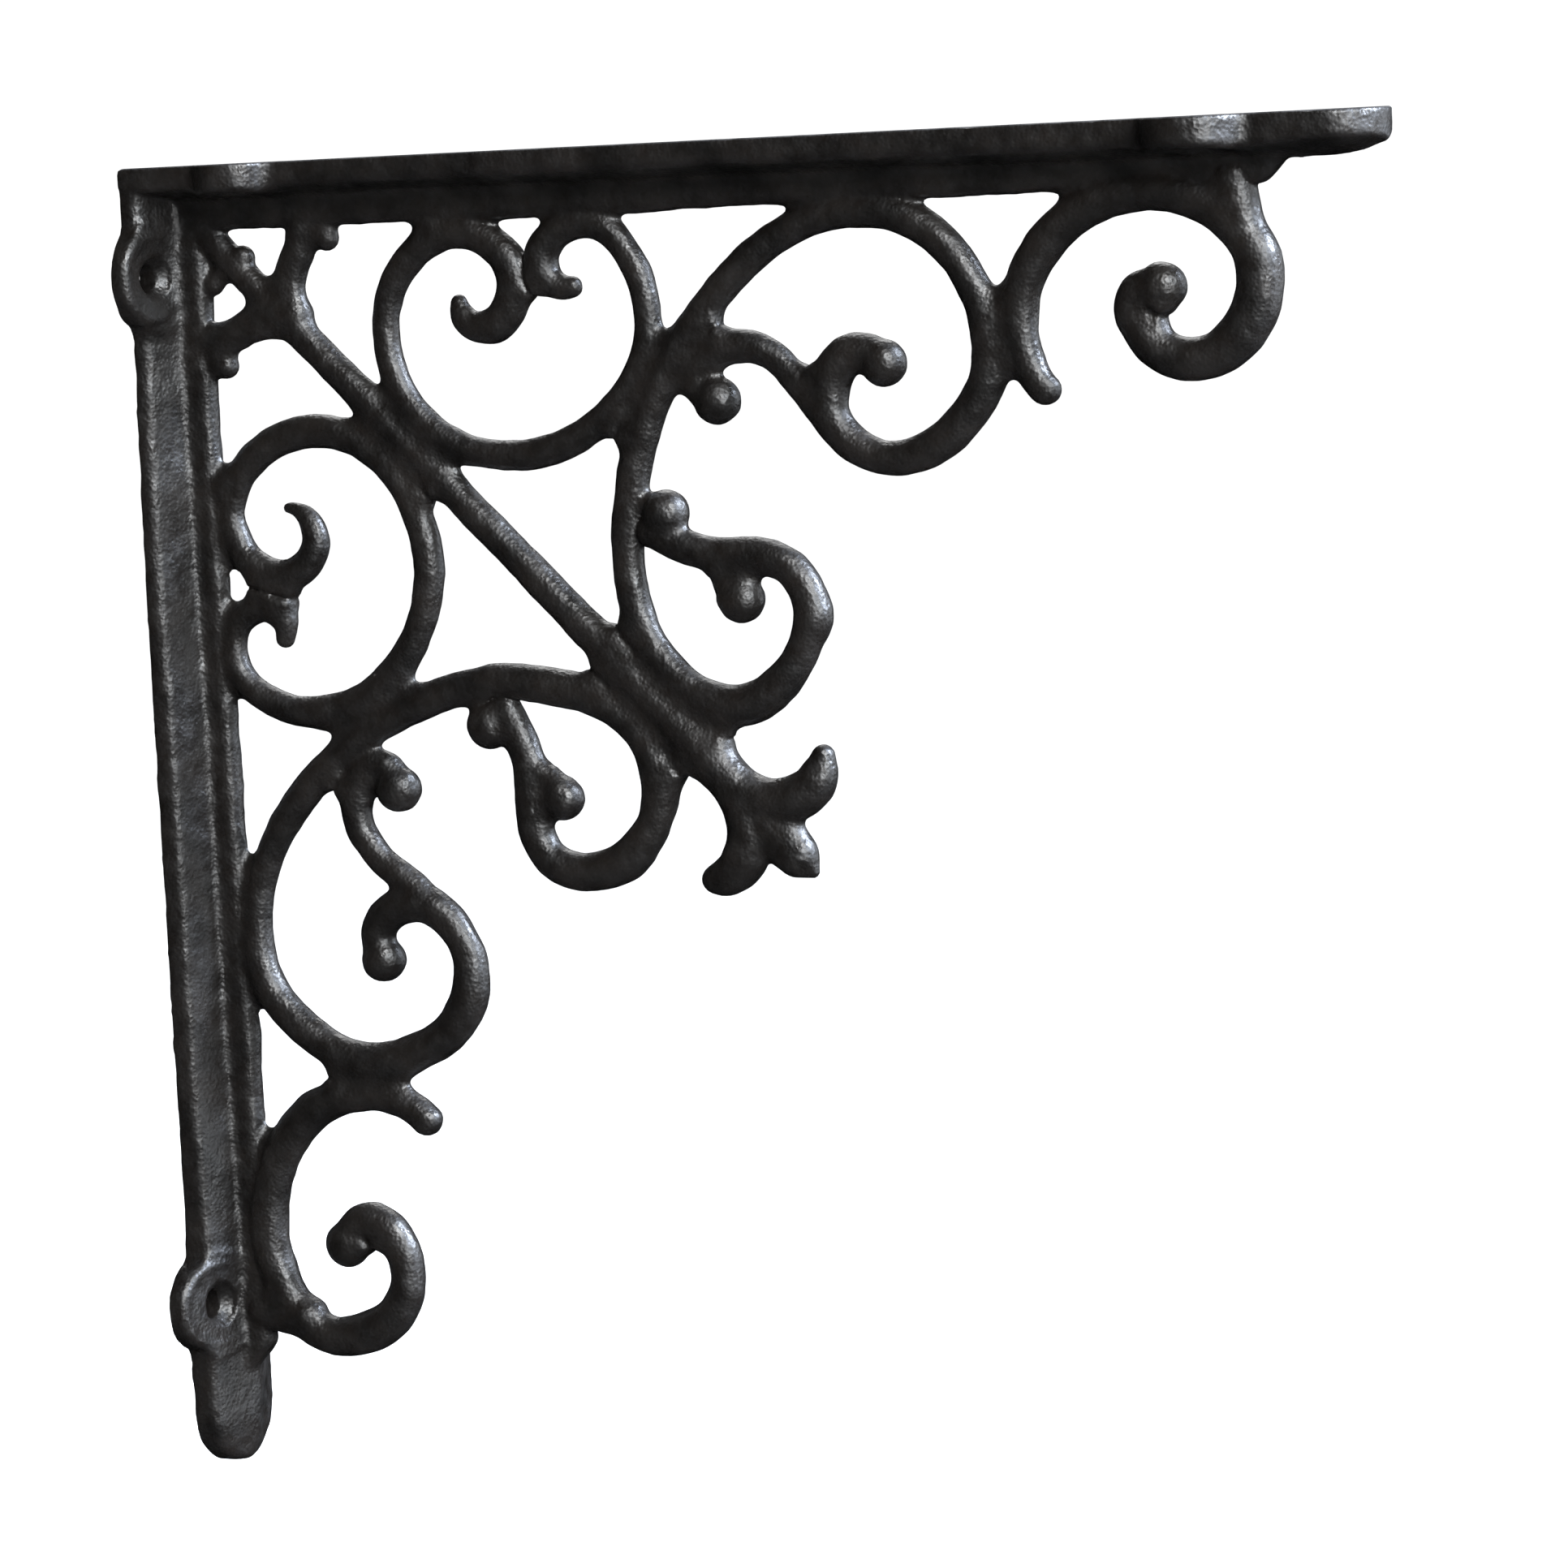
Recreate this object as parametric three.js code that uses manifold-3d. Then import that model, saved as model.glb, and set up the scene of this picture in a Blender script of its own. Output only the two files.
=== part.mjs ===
// Cast iron shelf bracket with mirrored scrollwork, one casting.
// Millimetres. X runs out from the wall, Y across the straps, Z up.
// The legs are laid out in a flat drawing: "out" is the distance from the wall face and
// "drop" the distance below the shelf face. The scrollwork is laid out the same way from the
// crests of the two ribs, so a scroll and its twin are swapped out and drop.

import * as THREE from 'three'
import Module from 'manifold-3d'
import { mergeVertices } from 'three/addons/utils/BufferGeometryUtils.js'

const wasm = await Module()
wasm.setup()

// Overall sizes
const wallLength = 233.5
const shelfLength = 232.5
const originDrop = 110
const strapHalf = 9.8
const ribTop = 11.4
const ribSetback = 16
const ribShoulder = 7
const ribHalf = 2.5
const ribFlare = 3.9
const ribNose = 1.1
const edgeBreak = 0.5
const tipFall = 1.2

// Strap thickness at its edge and at its centre ridge, at the corner and at the tip
const wallStrap = { length: wallLength, edge: [2.7, 4.5], ridge: [6.3, 7.3] }
const shelfStrap = { length: shelfLength, edge: [4.2, 4.3], ridge: [6.6, 7] }

// Screw ears: distance from the corner, radius, thickness at the outer rim and beside the rib
const earAcross = 8.2
const earSides = 16
const wallEars = [
  { fromCorner: 19.3, radius: 7.3, rim: 2.3, root: 5.2 },
  { fromCorner: wallLength - 29.5, radius: 8, rim: 2.6, root: 6.4 },
]
const shelfEars = [
  { fromCorner: 22.5, radius: 7.2, rim: 4.7, root: 5.8 },
  { fromCorner: shelfLength - 30.5, radius: 8.6, rim: 4.7, root: 5.9 },
]
const screwSides = 10
const screwRadius = 2.9
const sinkRadius = 4.3
const sinkDepth = 1.4

// Scroll bars
const barSides = 8
const barDepth = 0.95
const sagitta = 0.36
const longestRun = 22

// Each scroll: where it starts, its first heading (0 is away from the wall, 90 is down),
// arcs as radius and turn in degrees (plus turns from out towards down), and its width at
// shares of its length.
const ring = {
  start: [49.1, 12.6],
  heading: 94,
  arcs: [[5.5, -123], [8, -124], [14.5, -95], [22, -101], [29, -68], [19.5, -75], [8.5, -107],
    [4.2, -116], [9.5, -20]],
  width: [[0, 2], [0.05, 5], [0.12, 5.6], [0.3, 5.2], [0.75, 5.1], [0.9, 5.8], [0.96, 4.6], [1, 1.8]],
}
const greatScroll = {
  start: [80.6, 55.1],
  heading: -85,
  arcs: [[65, 49], [35, 40], [16, 48], [60, 10], [18.5, 113], [13.5, 56], [7, 41], [8.5, 80], [4, 60]],
  width: [[0, 5.8], [0.3, 5.6], [0.5, 5.9], [0.62, 6.6], [0.8, 6.2], [0.9, 5.8], [1, 5.2]],
}
const sBar = {
  start: [98.6, 33.1],
  heading: -163,
  arcs: [[7, 27], [3.5, 89], [10.5, 108], [35, -33]],
  width: [[0, 5], [0.3, 5.6], [0.6, 5.2], [1, 5.4]],
}
const lobe = {
  start: [80.1, 52.3],
  heading: 93,
  arcs: [[40, -42], [13, -92], [20, -43], [7.5, -76], [15.5, -23], [28, 37]],
  width: [[0, 5.8], [0.25, 5.8], [0.5, 6.4], [0.65, 6.6], [0.8, 6], [1, 5.2]],
}
const endScroll = {
  start: [159.2, 33.6],
  heading: -139,
  arcs: [[11.5, 26], [16.5, 38], [25, 69], [20, 28], [23, 28], [12.5, 186], [2.5, 38], [5.5, 90]],
  width: [[0, 4.6], [0.08, 5.4], [0.2, 6.7], [0.45, 7], [0.62, 7.6], [0.78, 7], [0.9, 6.6], [1, 5.6]],
}
const cornerCurl = {
  start: [15.4, 17.1],
  heading: -92,
  arcs: [[34, 14], [11.5, 62]],
  width: [[0, 6], [0.5, 5.4], [1, 4]],
}
const cornerStub = {
  start: [16.8, 12.6],
  heading: -83,
  arcs: [[90, 9]],
  width: [[0, 5.4], [1, 5.6]],
}
const petal = {
  start: [96.4, 95],
  heading: 60,
  arcs: [[11.5, -84], [8.5, -53]],
  width: [[0, 6.6], [0.5, 7.6], [0.8, 6.6], [1, 4]],
}

// Balls at scroll ends and on the lobes: place and radius
const balls = [
  [98.7, 32.8, 4.1],
  [131, 27, 4],
  [87.8, 51.2, 4.3],
  [101.2, 65.8, 3.9],
  [181.2, 16.8, 4.1],
  [24.4, 2.2, 2.3],
]
const lobeNeck = { start: [101.6, 59.6], heading: 92, length: 6, width: [4.6, 5] }
const endShoulder = { start: [195.4, 7.6], heading: -98, length: 9, width: [7.4, 7.4] }
const ringShoulder = { start: [42, 5.4], heading: -52, length: 6, width: [5.2, 5] }
const cornerBud = [6.9, 5.2, 2.2]

// Brace and finial on the diagonal, as distance along one side of the square it crosses
const braceFrom = -3.4
const braceTo = 101.6
const braceWidth = [[0, 5.4], [0.1, 5.6], [0.8, 6], [0.94, 8.4], [1, 7.4]]
const bud = { from: 97.6, to: 113.6, width: [[0, 5], [0.25, 7.6], [0.55, 10.2], [0.8, 7.6], [1, 1.6]], depth: 6.4 }

const rad = THREE.MathUtils.degToRad
const round = Math.PI * 2

function drawingToSpace([out, drop, across]) {
  return [out, across, originDrop - drop]
}

function scrollToSpace([out, drop, across], mirrored) {
  return drawingToSpace(mirrored ? [ribTop + drop, ribTop + out, across] : [ribTop + out, ribTop + drop, across])
}

function solid(positions, index) {
  const geometry = new THREE.BufferGeometry()
  geometry.setAttribute('position', new THREE.Float32BufferAttribute(positions, 3))
  geometry.setIndex(index)
  return toManifold(geometry)
}

function toManifold(source) {
  const geometry = source.clone()
  geometry.deleteAttribute('normal')
  geometry.deleteAttribute('uv')
  const merged = mergeVertices(geometry, 1e-4)
  const mesh = new wasm.Mesh({
    numProp: 3,
    vertProperties: new Float32Array(merged.attributes.position.array),
    triVerts: new Uint32Array(merged.index.array),
  })
  return new wasm.Manifold(mesh)
}

// A closed skin over rings of the same number of points, turned outward whichever way they run
function loft(rings) {
  const count = rings[0].length
  const positions = rings.flat(2)
  const faces = []
  for (let i = 0; i < rings.length - 1; i += 1) {
    for (let k = 0; k < count; k += 1) {
      const next = (k + 1) % count
      const a = i * count + k
      const b = i * count + next
      faces.push([a, b, a + count], [b, b + count, a + count])
    }
  }
  const last = (rings.length - 1) * count
  for (let k = 1; k < count - 1; k += 1) {
    faces.push([0, k + 1, k], [last, last + k, last + k + 1])
  }
  const point = (i) => new THREE.Vector3().fromArray(positions, i * 3)
  const volume = faces.reduce((sum, [a, b, c]) => sum + point(a).dot(point(b).cross(point(c))), 0)
  const outward = volume > 0 ? faces : faces.map(([a, b, c]) => [a, c, b])
  return solid(positions, outward.flat())
}

function shareOf(table, share) {
  const last = table.length - 1
  const at = Math.min(table.findIndex(([s]) => s >= share - 1e-9), last)
  if (at <= 0) {
    return table[0][1]
  }
  const [s0, v0] = table[at - 1]
  const [s1, v1] = table[at]
  return THREE.MathUtils.lerp(v0, v1, (share - s0) / (s1 - s0))
}

// Stations along a chain of arcs that run smoothly into each other
function stationsOf({ start, heading, arcs }) {
  const stations = [{ out: start[0], drop: start[1], heading: rad(heading), run: 0 }]
  for (const [radius, turn] of arcs) {
    const from = stations[stations.length - 1]
    const sign = Math.sign(turn)
    const length = radius * rad(Math.abs(turn))
    const widest = 2 * Math.acos(1 - sagitta / (radius + 3))
    const steps = Math.max(1, Math.round(rad(Math.abs(turn)) / widest), Math.round(length / longestRun))
    const centreOut = from.out - sign * radius * Math.sin(from.heading)
    const centreDrop = from.drop + sign * radius * Math.cos(from.heading)
    for (let i = 1; i <= steps; i += 1) {
      const turned = from.heading + rad(turn) * i / steps
      stations.push({
        out: centreOut + sign * radius * Math.sin(turned),
        drop: centreDrop - sign * radius * Math.cos(turned),
        heading: turned,
        run: from.run + length * i / steps,
      })
    }
  }
  return stations
}

function ringAt(station, width, depth, lead = 0) {
  const points = []
  for (let k = 0; k < barSides; k += 1) {
    const angle = round * (k + 0.5) / barSides
    const side = Math.cos(angle) * width / 2
    points.push([
      station.out - Math.sin(station.heading) * side + Math.cos(station.heading) * lead,
      station.drop + Math.cos(station.heading) * side + Math.sin(station.heading) * lead,
      Math.sin(angle) * depth / 2,
    ])
  }
  return points
}

// A bar along its stations with domed ends, in the drawing or as its twin
function bar(stations, widthAt, mirrored, depthAt = (width) => width * barDepth) {
  const total = stations[stations.length - 1].run
  const first = stations[0]
  const last = stations[stations.length - 1]
  const grow = 1 / Math.cos(Math.PI / barSides)
  const dome = (station, share, way) => [0.85, 0.5].map((cut) => {
    const width = widthAt(share) * grow
    const lead = way * Math.cos(Math.asin(cut)) * width / 2
    return ringAt(station, width * cut, depthAt(width) * cut, lead)
  })
  const rings = [
    ...dome(first, 0, -1).reverse(),
    ...stations.map((station) => {
      const width = widthAt(station.run / total) * grow
      return ringAt(station, width, depthAt(width))
    }),
    ...dome(last, 1, 1),
  ]
  return loft(rings.map((points) => points.map((p) => scrollToSpace(p, mirrored))))
}

function scroll(shape, mirrored) {
  return bar(stationsOf(shape), (share) => shareOf(shape.width, share), mirrored)
}

function straight(start, heading, length, width, mirrored) {
  const angle = rad(heading)
  const stations = [0, 1].map((share) => ({
    out: start[0] + Math.cos(angle) * length * share,
    drop: start[1] + Math.sin(angle) * length * share,
    heading: angle,
    run: length * share,
  }))
  return bar(stations, (share) => THREE.MathUtils.lerp(width[0], width[1], share), mirrored)
}

function ball([out, drop, radius], mirrored) {
  const geometry = new THREE.SphereGeometry(radius, 8, 5)
  geometry.rotateX(Math.PI / 2)
  geometry.translate(...scrollToSpace([out, drop, 0], mirrored))
  return toManifold(geometry)
}

// A bar on the diagonal, its width given at shares of its length
function diagonal(from, to, width, depthAt) {
  const length = (to - from) * Math.SQRT2
  const stations = width.map(([share]) => ({
    out: from + (to - from) * share,
    drop: from + (to - from) * share,
    heading: rad(45),
    run: length * share,
  }))
  return bar(stations, (share) => shareOf(width, share), false, depthAt)
}

// Leg pieces are laid out as along, thickness and across; the wall leg swaps out and drop
const onShelf = ([along, thick, across]) => drawingToSpace([along, thick, across])
const onWall = ([along, thick, across]) => drawingToSpace([thick, along, across])

function strap(sizes, place, from) {
  const turnFrom = sizes.length - strapHalf
  const ends = [0, 20, 40, 58, 72, 84].map((angle) => rad(angle))
  const stations = [
    { along: from, half: strapHalf, fall: 0 },
    ...ends.map((angle) => ({
      along: turnFrom + strapHalf * Math.sin(angle),
      half: strapHalf * Math.cos(angle),
      fall: Math.sin(angle) ** 2,
    })),
  ]
  const rings = stations.map(({ along, half, fall }) => {
    const share = along / sizes.length
    const side = THREE.MathUtils.lerp(...sizes.edge, share)
    const crest = THREE.MathUtils.lerp(...sizes.ridge, share)
    const ridge = crest - tipFall * fall
    const edge = ridge - (crest - side) * half / strapHalf
    const cut = Math.min(edgeBreak, half / 3)
    const right = [
      [0, half - cut / 2],
      [cut / 2, half],
      [edge - cut, half],
      [edge, half - cut],
    ]
    const left = right.map(([thick, across]) => [thick, -across]).reverse()
    return [...right, [ridge, 0], ...left].map(([thick, across]) => place([along, thick, across]))
  })
  return loft(rings)
}

function rib(sizes, place) {
  const shoulder = [0, 0.25, 0.5, 0.75, 1]
  const ridgeAt = (along) => THREE.MathUtils.lerp(...sizes.ridge, along / sizes.length)
  const rootAt = (along) => ridgeAt(along) - 1.4
  const stations = [
    { along: 2, top: ribTop },
    ...shoulder.map((share) => {
      const along = sizes.length - ribSetback - ribShoulder * (1 - share)
      const drop = (1 - Math.cos(Math.PI * share)) / 2
      return { along, top: THREE.MathUtils.lerp(ribTop, ridgeAt(along) - 0.6, drop) }
    }),
  ]
  const rings = stations.map(({ along, top }) => {
    const root = rootAt(along)
    const proud = (top - root) / (ribTop - root)
    const right = [
      [1, ribFlare],
      [root, ribFlare],
      [root + (top - root) * 0.4, ribHalf + 0.25 * proud],
      [top - ribNose * proud, ribHalf],
      [top, ribHalf - ribNose],
    ]
    const left = right.map(([thick, across]) => [thick, -across]).reverse()
    return [...right, ...left].map(([thick, across]) => place([along, thick, across]))
  })
  return loft(rings)
}

function ear({ fromCorner, radius, rim, root }, side, place) {
  const near = ribFlare
  const far = earAcross + radius
  const height = (across) => THREE.MathUtils.mapLinear(across, near, far, root, rim)
  const loop = (top) => Array.from({ length: earSides }, (_, k) => {
    const angle = round * k / earSides
    const across = earAcross + radius * Math.cos(angle)
    return place([fromCorner + radius * Math.sin(angle), top ? height(across) : 0, side * across])
  })
  return loft([loop(false), loop(true)])
}

function screwHole({ fromCorner, rim, root }, side, place) {
  const floor = (rim + root) / 2 - sinkDepth
  const levels = [[-2, screwRadius], [floor - sinkDepth / 2, screwRadius], [floor + sinkDepth / 2, sinkRadius],
    [ribTop, sinkRadius]]
  return loft(levels.map(([thick, radius]) => Array.from({ length: screwSides }, (_, k) => {
    const angle = round * k / screwSides
    return place([fromCorner + radius * Math.sin(angle), thick, side * (earAcross + radius * Math.cos(angle))])
  })))
}

const pieces = [
  strap(wallStrap, onWall, 1.5),
  strap(shelfStrap, onShelf, 0),
  rib(wallStrap, onWall),
  rib(shelfStrap, onShelf),
  diagonal(braceFrom, braceTo, braceWidth),
  diagonal(bud.from, bud.to, bud.width, (width) => Math.min(width, bud.depth)),
  ball(cornerBud, false),
]
for (const mirrored of [false, true]) {
  for (const shape of [ring, greatScroll, sBar, lobe, endScroll, cornerCurl, cornerStub, petal]) {
    pieces.push(scroll(shape, mirrored))
  }
  for (const place of balls) {
    pieces.push(ball(place, mirrored))
  }
  for (const { start, heading, length, width } of [lobeNeck, endShoulder, ringShoulder]) {
    pieces.push(straight(start, heading, length, width, mirrored))
  }
}

const holes = []
for (const side of [-1, 1]) {
  for (const [ears, place] of [[wallEars, onWall], [shelfEars, onShelf]]) {
    for (const size of ears) {
      pieces.push(ear(size, side, place))
      holes.push(screwHole(size, side, place))
    }
  }
}

let casting = pieces[0]
for (const piece of pieces.slice(1)) {
  casting = casting.add(piece)
}
for (const hole of holes) {
  casting = casting.subtract(hole)
}

function toGeometry(manifold) {
  const { numProp, vertProperties, triVerts } = manifold.getMesh()
  const points = []
  for (let i = 0; i < vertProperties.length; i += numProp) {
    points.push(vertProperties[i], vertProperties[i + 1], vertProperties[i + 2])
  }
  const geometry = new THREE.BufferGeometry()
  geometry.setAttribute('position', new THREE.Float32BufferAttribute(points, 3))
  geometry.setIndex(Array.from(triVerts))
  geometry.computeVertexNormals()
  return geometry
}

const iron = new THREE.MeshStandardMaterial({ color: 0x211f1e, roughness: 0.5, metalness: 0.35 })
const bracket = new THREE.Mesh(toGeometry(casting), iron)
bracket.name = 'bracket'

const group = new THREE.Group()
group.name = 'iron_shelf_bracket'
group.add(bracket)

export default group
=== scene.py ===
import math

import bpy
import numpy as np
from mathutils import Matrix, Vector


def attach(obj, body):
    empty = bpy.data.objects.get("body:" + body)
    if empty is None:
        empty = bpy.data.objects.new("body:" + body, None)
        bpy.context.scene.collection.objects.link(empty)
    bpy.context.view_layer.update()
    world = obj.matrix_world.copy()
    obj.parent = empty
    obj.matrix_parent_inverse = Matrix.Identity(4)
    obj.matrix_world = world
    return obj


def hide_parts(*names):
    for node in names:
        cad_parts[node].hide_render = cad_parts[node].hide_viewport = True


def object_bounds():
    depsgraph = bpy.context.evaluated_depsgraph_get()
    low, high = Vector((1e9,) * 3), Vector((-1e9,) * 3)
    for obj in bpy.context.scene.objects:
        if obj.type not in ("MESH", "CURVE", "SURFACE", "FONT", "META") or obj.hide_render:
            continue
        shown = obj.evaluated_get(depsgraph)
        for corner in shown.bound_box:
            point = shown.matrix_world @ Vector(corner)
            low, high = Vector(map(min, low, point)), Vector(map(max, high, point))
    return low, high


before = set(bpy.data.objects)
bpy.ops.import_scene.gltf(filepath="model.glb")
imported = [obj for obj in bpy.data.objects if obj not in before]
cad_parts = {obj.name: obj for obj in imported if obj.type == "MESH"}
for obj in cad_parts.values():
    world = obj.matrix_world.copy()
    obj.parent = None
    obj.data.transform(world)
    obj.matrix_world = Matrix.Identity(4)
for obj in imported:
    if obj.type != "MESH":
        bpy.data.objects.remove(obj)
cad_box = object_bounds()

import openvdb
from mathutils import Matrix, Vector

# Everything up to the mesh is in millimetres. Places are laid out in a flat drawing of the bracket:
# "out" is the distance from the wall face and "drop" the distance below the shelf face.
WALL_LENGTH = 233.5
SHELF_LENGTH = 232.5
ORIGIN_DROP = 110.0

# Ribs
RIB_TOP = 11.4
RIB_HALF = 2.5
RIB_SETBACK = 15.7
RIB_SHOULDER = 7.0
RIB_FOOT = 0.6
RIB_FROM_CORNER = 1.5
RIB_FROM_BACK = 1.0
TIP_FALL = 1.9

# Screw ears, with a raised lip and a countersunk hole
EAR_ACROSS = 8.2
EAR_ROOT_ACROSS = 3.9
LIP_HEIGHT = 0.35
LIP_INSET = 1.1
LIP_WIDTH = 0.8
SCREW_RADIUS = 2.6
SINK_RADIUS = 4.3
SINK_DEPTH = 0.8

# Depth of an ordinary bar as a share of its width, and half the depth of the bud and of the webs
BAR_DEPTH = 0.95
BUD_HALF_DEPTH = 3.2
WEB_HALF_DEPTH = 1.9

# Fillets between the forms, and roundings of their edges
FILLET = 3.0
LEAST_FILLET = 0.05
FILLET_POWER = 0.7
BALL_FILLET = 1.8
BRACE_FILLET = 2.7
BUD_FILLET = 1.5
CORNER_BUD_FILLET = 1.0
RIB_FILLET = 2
EAR_FILLET = 2.6
RIB_ROUNDING = 2.5
RIB_END_ROUNDING = 0.5
BACK_ROUNDING = 0.4
EAR_ROUNDING = 1.0
HOLE_ROUNDING = 0.3
CORNER_ROUNDING = 1.4

# The fillets of the legs shrink to a share over this distance from the middle plane
CREST_REACH = 2.2
CREST_SHARE = 0.3

# Each leg, with sizes at distances from the corner: half width of the strap, height of the rib's
# crest, thickness of the strap at its edge and at its middle, fillet against the scrolls, rounding of
# the edge. An ear has its distance from the corner, radius, thickness at rim and root, and stretch.
WALL = {
    "length": WALL_LENGTH,
    "half": [(0, 10.6), (12, 10.6), (28, 8.7), (36, 8.9), (54, 9.5), (62, 9.8), (86, 10), (190, 9.9),
             (212, 10.3), (233.5, 10.2)],
    "rib": [(0, RIB_TOP - 0.2), (70, RIB_TOP - 0.2), (110, RIB_TOP), (150, RIB_TOP + 0.5),
            (180, RIB_TOP + 0.4), (233.5, RIB_TOP + 0.2)],
    "edge": [(0, 3.3), (10, 3.1), (38, 2.4), (54, 2.5), (78, 2.9), (94, 3.6), (158, 3.8), (174, 4.2),
             (190, 4.6), (233.5, 4.7)],
    "ridge": [(0, 7.9), (60, 8.1), (80, 7.8), (160, 8), (192, 8.1), (214, 7.9), (233.5, 7.6)],
    "crotch": [(0, 1.4), (42, 1.4), (56, 2.8), (72, 3.4), (90, 2.6), (104, 2.6), (125, 3.2),
               (150, 2.6), (176, 3.2), (192, 1), (233.5, 0.8)],
    "rounding": [(0, 1.6)],
    "ears": [(19.4, 6.9, 2.8, 5.7, 1.25), (WALL_LENGTH - 30.2, 8.9, 2.8, 6.7, 0.93)],
}
SHELF = {
    "length": SHELF_LENGTH,
    "half": [(0, 11), (14, 11), (20, 9.8), (232.5, 9.8)],
    "rib": [(0, RIB_TOP + 0.25), (60, RIB_TOP + 0.3), (76, RIB_TOP + 0.6), (98, RIB_TOP + 0.5),
            (104, RIB_TOP + 0.3), (114, RIB_TOP), (130, RIB_TOP - 0.1), (145, RIB_TOP + 0.1),
            (232.5, RIB_TOP)],
    "edge": [(0, 4.1), (100, 4.1), (150, 4.3), (176, 4.8), (216, 4.8), (232.5, 4.3)],
    "ridge": [(0, 6.6), (150, 6.9), (180, 7.4), (216, 7.6), (232.5, 7.3)],
    "crotch": [(0, 1.2), (44, 1.2), (56, 2.4), (72, 1.6), (96, 1.6), (130, 2), (146, 1.4), (165, 2),
               (182, 1.6), (194, 0.7), (232.5, 0.7)],
    "rounding": [(0, 1.6), (206, 1.6), (216, 0.8)],
    "ears": [(22.5, 7.2, 4.7, 5.8, 1), (SHELF_LENGTH - 30.5, 8.6, 4.7, 5.9, 1)],
}

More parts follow.
